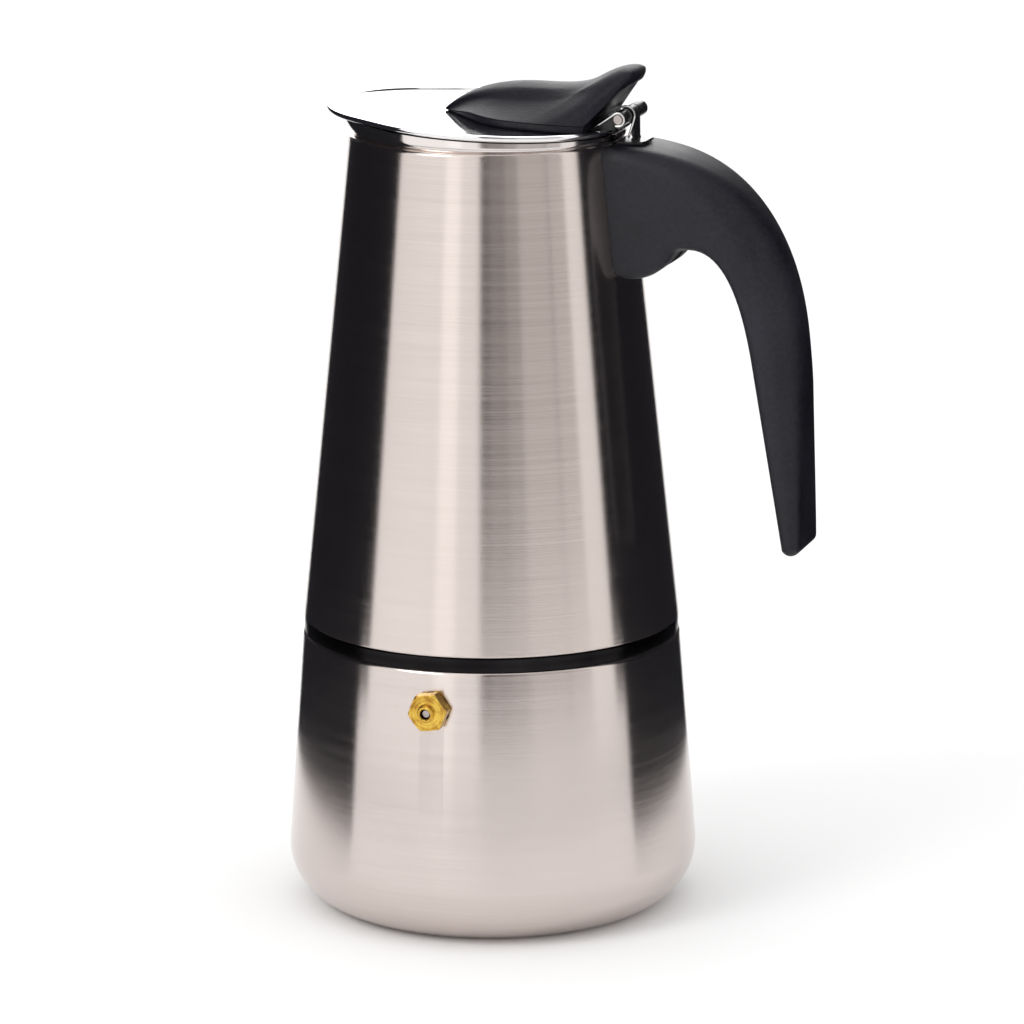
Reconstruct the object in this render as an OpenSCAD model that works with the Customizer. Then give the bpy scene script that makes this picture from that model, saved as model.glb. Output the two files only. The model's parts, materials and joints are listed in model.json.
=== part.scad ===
// Stovetop moka pot in stainless steel with a moulded side handle.
// Millimetres, +Z up. The origin is on the pot's axis at the plane it stands on.
// The handle is on +X, the pouring beak on -X and the safety valve on -Y.

/* [Boiler] */
// Widest radius of the boiler, just above its rounded foot
boiler_r = 52.5; // [51:0.5:54]
// Radius of the rounded foot, which ends where the boiler is widest
foot_r = 15; // [12:1:16]
// Outer radius at the top of the boiler's wall
boiler_top_r = 48.4; // [48.3:0.1:49]
// Height of the boiler's shoulder
boiler_h = 71.6; // [70:0.2:71.6]
// Thickness of the boiler's sheet
boiler_wall = 1; // [0.8:0.1:1.2]
// Height of the polished ring between the two chambers
ring_h = 3.4; // [3:0.1:3.4]

/* [Thread] */
// Lift of the jug in one turn
thread_pitch = 3; // [2.5:0.5:3]
// Turns of thread on the boiler's neck and in the jug's ring
thread_turns = 1.5; // [1:0.5:1.5]
// Radius of the neck under its thread
neck_r = 43.6; // [43.2:0.1:43.8]
// Radius of the neck's bore
neck_bore_r = 41.6; // [41:0.1:42]

/* [Jug] */
// Outer radius at the jug's foot
jug_foot_r = 48.16; // [48:0.02:48.3]
// Outer radius at the jug's shoulder
jug_top_r = 35.2; // [35:0.1:35.6]
// Height of the jug's foot above the base plane
jug_z = 75.3; // [75.3:0.1:75.6]
// Height of the jug's shoulder above the base plane
jug_top_z = 200.3; // [200:0.1:200.5]
// Thickness of the jug's sheet
jug_wall = 0.8; // [0.6:0.1:1]
// Height of the riser's top above the base plane
column_top_z = 166; // [150:1:175]

/* [Mouth] */
// Outer radius of the mouth where it leaves the shoulder
mouth_r = 31.6; // [31:0.1:32]
// Outer radius of the mouth's flared rim
rim_r = 35; // [34.5:0.1:35.2]
// Reach of the pouring beak from the axis
beak_reach = 38.4; // [37:0.2:39]
// Width of the pouring beak's tip
beak_tip_w = 9; // [6:1:12]

/* [Lid] */
// Radius of the lid
lid_r = 36; // [35.8:0.1:36.2]
// Radius of the lid's nose over the beak
nose_r = 30; // [28:0.5:31]
// Distance of the nose's centre from the axis
nose_x = 11.4; // [10:0.1:12]
// Thickness of the lid's sheet
lid_t = 0.8; // [0.7:0.1:0.9]
// Slope of the lid, which rises towards the beak
lid_tilt = 2.8; // [2.5:0.1:3]

/* [Hinge] */
// Distance of the hinge pin from the axis
pin_x = 37; // [36.8:0.1:37.2]
// Height of the hinge pin above the base plane
pin_z = 206.3; // [206.2:0.1:206.5]
// Length of the hinge pin
pin_len = 21; // [21:0.5:22]
// Radius of the hinge pin
pin_r = 1.25; // [1.2:0.05:1.3]
// Outer radius of the knuckles
knuckle_r = 1.95; // [1.9:0.05:2]

/* [Knob] */
// Width of the knob across its widest part
knob_w = 37; // [32:1:38]
// Thickness of the plate under the knob
knob_base_t = 2.2; // [1.8:0.1:2.6]

/* [Handle] */
// Width of the handle at its root
handle_root_w = 24.6; // [22:0.2:26]
// Width of the handle at its tip
handle_tip_w = 20; // [18:0.2:22]
// Reach of the handle from the axis
handle_reach = 84; // [83:0.5:86]
// Height of the handle's tip above the base plane
handle_tip_z = 97.3; // [95:0.1:99]

/* [Safety valve] */
// Height of the valve above the base plane
valve_z = 62; // [60:0.5:62]
// Width of the valve's hexagon across its flats
valve_hex = 9; // [8.8:0.1:9.4]
// Distance from the axis to the hexagon's front face
valve_face = 53.1; // [53:0.1:53.6]
// Projection of the nipple in front of the hexagon
nipple_len = 1.8; // [1.5:0.1:2.2]

/* [Hidden] */

$fn = 96;
// Thickness of the thin sheet parts
sheet = 0.7;
// Running clearance of a pin or shaft in its bore
running = 0.05;

steel = "#d8d2cc";
polished = "#e8e8ea";
dark_steel = "#4a4a4e";
nylon = "#35353b";
brass = "#d9a93c";
silicone = "#e6e4dc";

// How far each chamber's wall leans in for each millimetre of height
boiler_lean = (boiler_r - boiler_top_r) / (boiler_h - foot_r);
jug_lean = (jug_foot_r - jug_top_r) / (jug_top_z - jug_z);

// Levels of the stack that the jug is screwed down on
ring_top_z = boiler_h + ring_h;
neck_top_z = ring_top_z + 9;
funnel_rim_t = 0.8;
gasket_z = neck_top_z + funnel_rim_t;
gasket_t = 3.5;
plate_z = gasket_z + gasket_t;
plate_t = 0.8;
floor_z = plate_z + plate_t;

function boiler_at(z) = boiler_r - (z - foot_r) * boiler_lean;
function jug_at(z) = jug_foot_r - (z - jug_z) * jug_lean;

// Points of a cubic curve given by its two ends, a and d, and its two control points
function curve(a, b, c, d, steps) = [for (i = [0 : steps])
    let (t = i / steps, s = 1 - t)
    s * s * s * a + 3 * s * s * t * b + 3 * s * t * t * c + t * t * t * d];

// Points of an arc about a centre, from one angle to another
function arc(centre, r, from, to, steps) = [for (i = [0 : steps])
    let (a = from + (to - from) * i / steps)
    centre + r * [cos(a), sin(a)]];

// Mirror image of a plan outline, walked backwards, without its two end points
function mirrored(points) = [for (i = [len(points) - 2 : -1 : 1]) [points[i][0], -points[i][1]]];

// A plain tube standing on z
module tube(outer, inner, z, h) {
    translate([0, 0, z]) difference() {
        cylinder(r = outer, h = h);
        translate([0, 0, -1]) cylinder(r = inner, h = h + 2);
    }
}

// A side profile given in X and Z, as thick as w along Y
module side_plate(w) {
    rotate([90, 0, 0]) linear_extrude(height = w, center = true) children();
}

// The solid space inside the jug's outer cone
module inside_jug() {
    top = pin_z;
    translate([0, 0, jug_z]) cylinder(r1 = jug_foot_r, r2 = jug_at(top), h = top - jug_z);
}

// Round wire of radius r along points, its rings square to the path and to the axis "across"
module wire(points, r, across) {
    sides = 8;
    last = len(points) - 1;
    rings = [for (i = [0 : last])
        let (way = points[min(i + 1, last)] - points[max(i - 1, 0)],
            u = cross(way, across) / norm(cross(way, across)),
            v = cross(way, u) / norm(way))
        for (k = [0 : sides - 1]) points[i] + r * (u * cos(360 * k / sides) + v * sin(360 * k / sides))];
    walls = [for (i = [0 : last - 1]) for (k = [0 : sides - 1])
        let (a = sides * i + k, b = sides * i + (k + 1) % sides)
        each [[a, a + sides, b], [b, a + sides, b + sides]]];
    ends = [[for (k = [0 : sides - 1]) k], [for (k = [sides - 1 : -1 : 0]) sides * last + k]];
    polyhedron(rings, concat(walls, ends), convexity = 6);
}

// ---------------------------------------------------------------- boiler

// Half section of everything inside the boiler's outer face, moved in by t
module boiler_section(t) {
    polygon(concat(
        [[0, t]],
        arc([boiler_r - foot_r, foot_r], foot_r - t, -90, 0, 12),
        [[boiler_top_r - t, boiler_h - t], [0, boiler_h - t]]));
}

// Half section of the boiler's sheet between two heights
module boiler_sheet(low, high) {
    intersection() {
        difference() {
            boiler_section(0);
            boiler_section(boiler_wall);
        }
        translate([0, low]) square([boiler_r, high - low]);
    }
}

// Dished bottom, up to where its rounded foot meets the wall
module boiler_base() {
    color(steel) rotate_extrude() boiler_sheet(0, foot_r);
}

// Wall and shoulder, open for the neck and the safety valve
module boiler_shell() {
    color(steel) difference() {
        rotate_extrude() boiler_sheet(foot_r, boiler_h);
        translate([0, 0, boiler_h - 2 * boiler_wall]) cylinder(r = neck_r, h = 3 * boiler_wall);
        at_valve() cylinder(r = shank_r + 0.1, h = boiler_r);
    }
}

// Start of the thread above the polished ring, and how far its ridge stands out
thread_z = ring_top_z + 2;
ridge_h = 0.9;

// Helical ridge with sloping flanks, from the radius it stands on to the one it reaches
module thread_ridge(root, tip, z) {
    per_turn = 36;
    count = per_turn * thread_turns;
    root_half = 0.65;
    tip_half = 0.35;
    outward = tip > root;
    inner = outward ? [root, root_half] : [tip, tip_half];
    outer = outward ? [tip, tip_half] : [root, root_half];
    corners = [[inner[0], -inner[1]], [outer[0], -outer[1]], outer, inner];
    points = [for (i = [0 : count]) let (a = 360 * i / per_turn) for (c = corners)
        [c[0] * cos(a), c[0] * sin(a), z + thread_pitch * i / per_turn + c[1]]];
    walls = [for (i = [0 : count - 1]) for (k = [0 : 3])
        let (a = 4 * i + k, b = 4 * i + (k + 1) % 4)
        each [[a, b, a + 4], [b, b + 4, a + 4]]];
    end = 4 * count;
    polyhedron(points, concat(walls, [[3, 2, 1, 0], [end, end + 1, end + 2, end + 3]]), convexity = 6);
}

module boiler_neck() {
    color(polished) {
        tube(boiler_top_r - 0.4, neck_bore_r, boiler_h, ring_h);
        tube(neck_r, neck_bore_r, boiler_h - boiler_wall, neck_top_z - boiler_h + boiler_wall);
        thread_ridge(neck_r - 0.3, neck_r + ridge_h, thread_z);
    }
}

// ---------------------------------------------------------------- safety valve

// Places things at the valve, with their own +Z pointing out of the pot
module at_valve() {
    translate([0, 0, valve_z]) rotate([90, 0, 0]) children();
}

// Distances from the pot's axis, and radii about the valve's own axis
valve_wall = boiler_at(valve_z);
hex_back = valve_wall + 0.6;
shank_r = 3.2;
shank_end = valve_wall - 8.4;
chamber_r = 2.3;
chamber_end = valve_face - 1.2;
seat_t = 2;
piston_z = shank_end + seat_t;
piston_t = 1.6;
rod_r = 0.9;
nut_z = valve_wall - 5;
nut_t = 2.8;
washer_r = 4;
nipple_r = 2.15;
nipple_bore_r = 1.3;
hex_turn = 8;

module valve_body() {
    hex_h = valve_face - hex_back;
    chamfer = 0.6;
    edge_r = valve_hex / 2 + 0.1;
    color(brass) at_valve() difference() {
        union() {
            translate([0, 0, shank_end]) cylinder(r = shank_r, h = valve_face - shank_end);
            translate([0, 0, hex_back]) intersection() {
                rotate(hex_turn) cylinder(r = valve_hex / sqrt(3), h = hex_h, $fn = 6);
                rotate_extrude() polygon([[0, 0], [edge_r + 2 * chamfer, 0],
                    [edge_r + 2 * chamfer, hex_h - chamfer], [edge_r, hex_h], [0, hex_h]]);
            }
            translate([0, 0, valve_face - 1]) cylinder(r = nipple_r, h = nipple_len + 1);
        }
        translate([0, 0, shank_end - 1]) cylinder(r = chamber_r, h = chamber_end - shank_end + 1);
        translate([0, 0, shank_end]) cylinder(r = nipple_bore_r, h = valve_face);
    }
}

module valve_seat() {
    port_r = 0.75;
    color(brass) at_valve() tube(chamber_r, port_r, shank_end, seat_t);
}

// The piston's head closes the seat from outside, and its rod shows in the nipple
module valve_piston() {
    color("#8f8f92") at_valve() {
        translate([0, 0, piston_z]) cylinder(r = chamber_r - 0.1, h = piston_t);
        translate([0, 0, piston_z]) cylinder(r = rod_r, h = valve_face + 0.6 - piston_z);
    }
}

module valve_spring() {
    wire_r = 0.22;
    coil_r = 1.6;
    coils = 6;
    per_turn = 12;
    low = piston_z + piston_t + 2 * wire_r;
    high = chamber_end - 2 * wire_r;
    path = [for (i = [0 : coils * per_turn])
        let (a = 360 * i / per_turn)
        [coil_r * cos(a), coil_r * sin(a), low + (high - low) * i / (coils * per_turn)]];
    color("silver") at_valve() wire(path, wire_r, [0, 0, 1]);
}

module valve_nut() {
    color(brass) at_valve() translate([0, 0, nut_z]) difference() {
        cylinder(r = 5, h = nut_t, $fn = 6);
        translate([0, 0, -1]) cylinder(r = shank_r, h = nut_t + 2);
    }
}

// One washer on each face of the boiler's wall, each shaped to that face
module valve_washers() {
    wall_h = boiler_h - foot_r;
    inner_drop = boiler_wall + 0.1;
    color(silicone) {
        difference() {
            at_valve() tube(washer_r, shank_r, valve_wall - 2, hex_back - valve_wall + 2);
            translate([0, 0, foot_r]) cylinder(r1 = boiler_r, r2 = boiler_top_r, h = wall_h);
        }
        intersection() {
            at_valve() tube(washer_r, shank_r, nut_z + nut_t, 4);
            translate([0, 0, foot_r])
                cylinder(r1 = boiler_r - inner_drop, r2 = boiler_top_r - inner_drop, h = wall_h);
        }
    }
}

// ---------------------------------------------------------------- funnel

cup_r = 34;
cup_bottom_z = 52;
stem_r = 4.6;
stem_top_z = 43;

// Basket with the rim that rests on the neck and the cone that leads to the stem
module funnel_cup() {
    rim_out_r = neck_r - 0.4;
    color(steel) rotate_extrude() polygon([
        [stem_r, stem_top_z], [cup_r, cup_bottom_z], [cup_r, neck_top_z],
        [rim_out_r, neck_top_z], [rim_out_r, gasket_z], [cup_r - sheet, gasket_z],
        [cup_r - sheet, cup_bottom_z + sheet], [stem_r, stem_top_z + sheet]]);
}

module funnel_stem() {
    bottom_z = 6;
    color(steel) tube(stem_r, stem_r - 0.9, bottom_z, stem_top_z + 1.5 - bottom_z);
}

// A round plate with rings of holes, each ring one spacing outside the last
module perforated_plate(r, t, rings, spacing) {
    linear_extrude(height = t) difference() {
        circle(r = r);
        for (k = [0 : rings]) for (i = [1 : max(1, 6 * k)])
            rotate(60 * i / max(1, k)) translate([k * spacing, 0]) circle(r = 0.8, $fn = 16);
    }
}

module funnel_strainer() {
    color(steel) translate([0, 0, cup_bottom_z + sheet]) perforated_plate(cup_r - sheet, 0.6, 4, 7);
}

// ---------------------------------------------------------------- seal

module gasket() {
    color(silicone) tube(neck_r - 0.4, 35.5, gasket_z, gasket_t);
}

module filter_plate() {
    color(steel) translate([0, 0, plate_z]) perforated_plate(39.5, plate_t, 5, 6);
}

// ---------------------------------------------------------------- jug

// Cone with a rolled foot and a rounded shoulder that turns in to the mouth
module jug_shell() {
    shoulder = 1.2;
    bend_z = jug_top_z - shoulder;
    color(steel) rotate_extrude() polygon(concat(
        [[jug_foot_r - jug_wall, jug_z], [jug_foot_r - 0.3, jug_z], [jug_at(jug_z + 0.4), jug_z + 0.4]],
        arc([jug_at(bend_z) - shoulder, bend_z], shoulder, 0, 90, 4),
        [[mouth_r, jug_top_z], [mouth_r, jug_top_z - jug_wall],
            [jug_at(bend_z) - shoulder, jug_top_z - jug_wall],
            [jug_at(bend_z - shoulder) - jug_wall, bend_z - shoulder]]));
}

// Collar welded inside the jug's foot, with the thread that meets the neck's
module jug_thread_ring() {
    bore_r = neck_r + ridge_h + 0.3;
    bottom_z = jug_z + 0.6;
    top_z = floor_z - 0.2;
    color(steel) {
        rotate_extrude() polygon([
            [bore_r, bottom_z], [jug_at(bottom_z) - jug_wall, bottom_z],
            [jug_at(top_z) - jug_wall, top_z], [bore_r, top_z]]);
        thread_ridge(bore_r + 0.3, bore_r - 0.75, thread_z + thread_pitch / 2);
    }
}

column_r = 6;
floor_top_z = floor_z + 9;

// Pressed partition that rises to the riser and turns up against the jug's wall
module jug_floor() {
    flange_h = 4;
    wall_in = jug_at(floor_z) - jug_wall;
    flange_in = jug_at(floor_z + flange_h) - jug_wall;
    color(steel) rotate_extrude() polygon([
        [column_r, floor_top_z], [38, floor_z], [wall_in, floor_z],
        [flange_in, floor_z + flange_h], [flange_in - sheet, floor_z + flange_h],
        [wall_in - 1.5 * sheet, floor_z + sheet], [38, floor_z + sheet], [column_r, floor_top_z + sheet]]);
}

module coffee_column() {
    taper_z = floor_top_z + 12;
    color(steel) rotate_extrude() polygon([
        [column_r - sheet, floor_top_z - 2], [column_r, floor_top_z - 2], [column_r, taper_z],
        [5, column_top_z], [5 - sheet, column_top_z], [column_r - sheet, taper_z]]);
}

// Closed cap with slots round its skirt, from which the coffee wells out
module column_cap() {
    skirt = 9;
    lap = 4;
    color(steel) translate([0, 0, column_top_z - lap]) difference() {
        cylinder(r = 5.9, h = skirt);
        translate([0, 0, -1]) cylinder(r = 5.15, h = skirt - sheet + 1);
        for (a = [45 : 90 : 315]) rotate(a) translate([0, -1.5, lap + 1]) cube([8, 3, 2.6]);
    }
}

// Everything inside the mouth's outer face, moved in by t, up to well above the lid
module mouth_space(t) {
    foot_z = jug_top_z - 1.8;
    sky_z = jug_top_z + 9;
    bend = jug_top_z;
    lip_low = jug_top_z + 0.9;
    tip_half = beak_tip_w / 2;
    rotate_extrude() polygon(concat(
        [[0, foot_z], [mouth_r - t, foot_z]],
        curve([mouth_r - t, bend], [mouth_r + 1.4 - t, bend + 1.3],
            [rim_r - t, bend + 2.4], [rim_r - t, bend + 4.8], 5),
        [[rim_r - t, sky_z], [0, sky_z]]));
    // The beak: its floor climbs to the tip, and its sides close in on it
    intersection() {
        side_plate(60) polygon([[0, lip_low + t], [-mouth_r, lip_low + t],
            [-beak_reach + t, jug_top_z + 4.7 + t], [-beak_reach + t, sky_z], [0, sky_z]]);
        linear_extrude(height = sky_z) polygon([[0, 20 - t], [-28, 20 - t], [-beak_reach + t, tip_half - t],
            [-beak_reach + t, t - tip_half], [-28, t - 20], [0, t - 20]]);
    }
}

module mouth_collar() {
    color(polished) intersection() {
        difference() {
            mouth_space(0);
            mouth_space(sheet);
            translate([0, 0, jug_top_z - 3]) cylinder(r = mouth_r - sheet, h = 3);
        }
        // Cut parallel to the closed lid, a little under it
        on_lid() translate([-90, -50, lid_under - 0.3 - 30]) cube([120, 100, 30]);
    }
}

// ---------------------------------------------------------------- handle

// Places things along the handle's screw, from the mouth of its recess inwards
module at_screw() {
    translate([46.4, 0, 170.6]) rotate([0, -41, 0]) children();
}

screw_r = 1.95;
screw_len = 8.8;
seat_depth = 4;
tab_depth = 6.8;
tab_t = 1.6;
tab_w = 11;

handle_top_z = 199.4;

// Side outline: an arch outside, a finger gap inside and a lobe over the screw
module handle_outline() {
    tip_r = 2.6;
    polygon(concat(
        [[30, handle_top_z]],
        curve([34, handle_top_z], [69, handle_top_z], [handle_reach, 177], [handle_reach, 140], 14),
        arc([handle_reach - tip_r, handle_tip_z + tip_r], tip_r, 0, -150, 5),
        curve([71.6, 143], [70, 153], [66.5, 174.3], [55.5, 174.3], 8),
        curve([53.6, 174.4], [50, 174.2], [50.5, 166.5], [39.5, 166.1], 6),
        [[36.5, 167], [30, 167]]));
}

module handle() {
    half_root = handle_root_w / 2;
    half_tip = handle_tip_w / 2;
    straight = 50;
    end = handle_reach + 1;
    color(nylon) difference() {
        intersection() {
            side_plate(handle_root_w) handle_outline();
            linear_extrude(height = pin_z) polygon([
                [30, -half_root], [straight, -half_root], [end, -half_tip],
                [end, half_tip], [straight, half_root], [30, half_root]]);
        }
        inside_jug();
        handle_strap(0.2);
        hinge_tab(0.2);
        at_screw() translate([0, 0, -8]) cylinder(r = 4.2, h = 8 + seat_depth);
        at_screw() cylinder(r = screw_r + 0.2, h = screw_len + 0.2);
    }
}

strap_w = 12;
strap_low_z = 173;
strap_high_z = 191;

// Strap on the jug's wall with a tab square to the screw, grown by g on its free faces
module handle_strap(g) {
    side_plate(strap_w + 2 * g) polygon([
        [jug_at(strap_low_z) - 3, strap_low_z - g], [jug_at(strap_high_z) - 3, strap_high_z + g],
        [jug_at(strap_high_z) + tab_t + g, strap_high_z + g],
        [jug_at(strap_low_z) + tab_t + g, strap_low_z - g]]);
    at_screw() translate([-3.6, -tab_w / 2 - g, tab_depth - g]) cube([8 + g, tab_w + 2 * g, tab_t + 2 * g]);
}

module handle_bracket() {
    color(steel) difference() {
        handle_strap(0);
        inside_jug();
        at_screw() cylinder(r = screw_r, h = screw_len);
    }
}

module handle_screw() {
    head_t = 2.2;
    color("silver") at_screw() difference() {
        union() {
            translate([0, 0, seat_depth - head_t]) cylinder(r = 3.5, h = head_t);
            cylinder(r = screw_r, h = screw_len);
        }
        translate([-5, -5, -1]) cube([10, 10, 1 + seat_depth - head_t]);
        translate([-4, -0.5, seat_depth - head_t - 1]) cube([8, 1, 1.9]);
    }
}

// ---------------------------------------------------------------- hinge

// Places things at the hinge pin, with +Y along the pin
module at_hinge() {
    translate([pin_x, 0, pin_z]) children();
}

// Places things on the closed lid, with the origin still on the hinge pin
module on_lid() {
    at_hinge() rotate([0, lid_tilt, 0]) children();
}

// A cylinder about the hinge pin between two places along it
module about_pin(r, from, to) {
    translate([0, from, 0]) rotate([-90, 0, 0]) cylinder(r = r, h = to - from, $fn = 48);
}

middle_half = 3;
leaf_half = 9.7;
// Gaps between the middle knuckle and the outer two: one holds a turn of the spring
spring_gap = 0.9;
plain_gap = 0.3;
strip_t = knuckle_r - pin_r;

// Tab that hangs from the hinge's foot between the jug's wall and the handle, grown by g
module hinge_tab(g) {
    low_z = 192.4;
    side_plate(strap_w + 2 * g) polygon([
        [jug_at(low_z) - 3, low_z - g], [jug_at(low_z) + sheet + g, low_z - g],
        [jug_at(handle_top_z) + sheet + g, handle_top_z + g], [jug_at(handle_top_z) - 3, handle_top_z + g]]);
}

// Middle knuckle, the strip that carries it, and the foot on the handle's root
module hinge_bracket() {
    foot_z = handle_top_z - pin_z;
    color(dark_steel) difference() {
        union() {
            at_hinge() {
                about_pin(knuckle_r, -middle_half, middle_half);
                translate([pin_r, -middle_half, foot_z]) cube([strip_t, 2 * middle_half, -foot_z]);
                translate([-2, -strap_w / 2, foot_z]) cube([7.4, strap_w, sheet]);
            }
            hinge_tab(0);
        }
        at_hinge() about_pin(pin_r, -middle_half - 1, middle_half + 1);
        inside_jug();
    }
}

module hinge_pin() {
    color("silver") at_hinge() about_pin(pin_r, -pin_len / 2 - 0.1, pin_len / 2 - 0.1);
}

// Torsion spring: a leg on the lid, a loop about the pin's near end, a run under the near
// knuckle, a loop in the gap beside the middle knuckle and a leg down to the hinge's foot
module hinge_spring() {
    wire_r = 0.3;
    coil_r = pin_r + wire_r + 0.1;
    turn_r = knuckle_r + wire_r + 0.1;
    coil_y = -leaf_half - wire_r - 0.35;
    turn_y = -middle_half - spring_gap / 2;
    under = -100;
    path = concat(
        [[-5.9, coil_y, -2.1]],
        [for (a = [130 : -20 : -110]) [coil_r * cos(a), coil_y, coil_r * sin(a)]],
        [[turn_r * cos(under), coil_y + 0.7, turn_r * sin(under)],
            [turn_r * cos(under), turn_y - 0.7, turn_r * sin(under)]],
        [for (a = [under - 20 : -20 : -360]) [turn_r * cos(a), turn_y, turn_r * sin(a)]],
        [[turn_r - 0.2, turn_y, -1], [0.8, turn_y, -5.3]]);
    color("silver") at_hinge() wire(path, wire_r, [0.2, 1, -0.06]);
}

// ---------------------------------------------------------------- lid

// Levels below the hinge pin, in the closed lid's own frame
lid_top = -2.8;
lid_panel = lid_top - lid_t;
lid_under = lid_panel - lid_t;
rim_w = 2;
leaf_reach = -13;

// Plan of the lid moved in by t: two circles and the tangents that join them
module lid_plan(t) {
    centre = [-pin_x + 0.3, 0];
    nose = [-pin_x - nose_x, 0];
    lean = asin((lid_r - nose_r) / (centre[0] - nose[0]));
    side = [-sin(lean), cos(lean)];
    upper = [centre + (lid_r - t) * side, nose + (nose_r - t) * side];
    translate(centre) circle(r = lid_r - t);
    translate(nose) circle(r = nose_r - t);
    polygon([upper[0], upper[1], [upper[1][0], -upper[1][1]], [upper[0][0], -upper[0][1]]]);
}

// Panel with a raised border, which the hinge leaf interrupts
module lid_plate() {
    color(polished) on_lid() difference() {
        union() {
            translate([0, 0, lid_under]) linear_extrude(height = lid_t) lid_plan(0);
            translate([0, 0, lid_under]) linear_extrude(height = lid_top - lid_under) difference() {
                lid_plan(0);
                lid_plan(rim_w);
            }
        }
        translate([leaf_reach, -leaf_half - 0.2, lid_panel]) cube([20, 2 * leaf_half + 0.4, 4]);
        for (x = screw_places) translate([x, 0, lid_under - 1]) cylinder(r = knob_screw_r + 0.1, h = 4);
    }
}

// Sheet on the lid that rises in a wedge to the two outer knuckles
module lid_leaf() {
    wedge_x = -6.2;
    color(dark_steel) on_lid() difference() {
        union() {
            translate([leaf_reach, -leaf_half, lid_panel]) cube([-pin_r - leaf_reach, 2 * leaf_half, lid_t]);
            translate([-knuckle_r, -leaf_half, lid_panel]) cube([strip_t, 2 * leaf_half, -lid_panel]);
            side_plate(2 * leaf_half) polygon([[wedge_x, lid_top], [-pin_r, 1.4], [-pin_r, lid_top]]);
            about_pin(knuckle_r, -leaf_half, leaf_half);
        }
        about_pin(pin_r + running, -leaf_half - 1, leaf_half + 1);
        translate([wedge_x - 1, -middle_half - spring_gap, lid_top])
            cube([8 - wedge_x, 2 * middle_half + spring_gap + plain_gap, 6]);
    }
}

// ---------------------------------------------------------------- knob

knob_front = -48.4;
knob_rear = -7;
knob_seam = lid_panel + knob_base_t;
knob_screw_r = 1.5;
screw_places = [-33, -18];

// Leaf-shaped plan, pointed at the front and cut straight at the rear
module knob_plan() {
    half = knob_w / 2;
    side = concat(
        curve([knob_front, 0], [-43, 4.5], [-36, half], [-25, half], 8),
        curve([-22, half], [-16, half + 0.3], [-12, half], [knob_rear, half - 2], 4));
    polygon(concat(side, [[knob_rear, 0]], mirrored(concat(side, [[knob_rear, 0]]))));
}

module knob_screw_holes(r, top) {
    for (x = screw_places) translate([x, 0, lid_under - 1]) cylinder(r = r, h = top - lid_under + 1);
}

module knob_base() {
    color(nylon) on_lid() difference() {
        translate([0, 0, lid_panel]) linear_extrude(height = knob_base_t) knob_plan();
        translate([leaf_reach - 0.1, -leaf_half - 0.2, lid_panel - 1])
            cube([20, 2 * leaf_half + 0.4, lid_t + 1.05]);
        knob_screw_holes(knob_screw_r + 0.1, knob_seam + 1);
    }
}

// Boat-shaped cover that sweeps up to the thumb lever over the hinge
module lid_knob() {
    half = knob_w / 2;
    color(nylon) on_lid() difference() {
        intersection() {
            side_plate(2 * knob_w) polygon(concat(
                [[knob_front, knob_seam]],
                curve([knob_front, -1.2], [-42, 2.6], [-35, 5.6], [-25, 6], 6),
                curve([-22, 6], [-12, 6.4], [-8, 9.4], [-3, 11.6], 6),
                curve([-1.5, 12.1], [1.4, 12.6], [3, 11], [2.6, 8.8], 4),
                [[knob_rear, knob_seam]]));
            translate([0, 0, knob_seam]) linear_extrude(height = 20) {
                knob_plan();
                translate([knob_rear - 5, 2 - half]) square([15, 2 * half - 4]);
            }
            rotate([90, 0, 90]) translate([0, 0, knob_front - 1]) linear_extrude(height = 60) polygon([
                [-half, knob_seam], [half, knob_seam], [half - 1, knob_seam + 1.5], [8, 5.4], [7.2, 14],
                [-7.2, 14], [-8, 5.4], [1 - half, knob_seam + 1.5]]);
        }
        knob_screw_holes(knob_screw_r, 2.5);
    }
}

module knob_screws() {
    head_t = 1.3;
    color("silver") on_lid() for (x = screw_places) translate([x, 0, lid_under]) {
        difference() {
            translate([0, 0, -head_t]) cylinder(r = 2.8, h = head_t);
            for (a = [0, 90]) rotate(a) translate([-1.6, -0.3, -head_t - 0.5]) cube([3.2, 0.6, 1.2]);
        }
        cylinder(r = knob_screw_r, h = 6.5);
    }
}

boiler_base();
boiler_shell();
boiler_neck();
valve_body();
valve_seat();
valve_nut();
valve_washers();
valve_piston();
valve_spring();
funnel_cup();
funnel_stem();
funnel_strainer();
gasket();
filter_plate();
jug_shell();
jug_thread_ring();
jug_floor();
coffee_column();
column_cap();
mouth_collar();
handle_bracket();
handle();
handle_screw();
hinge_bracket();
hinge_pin();
lid_plate();
lid_leaf();
lid_knob();
knob_base();
knob_screws();
hinge_spring();
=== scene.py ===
"""Looks of a stovetop moka pot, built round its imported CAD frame.

Shapes are worked out in millimetres and handed to Blender in metres. The pot stands on
z = 0 with its handle on +X, its pouring beak on -X and its safety valve on -Y.
"""

import json
import math

import bmesh
import bpy
from mathutils import Matrix, Vector


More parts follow.
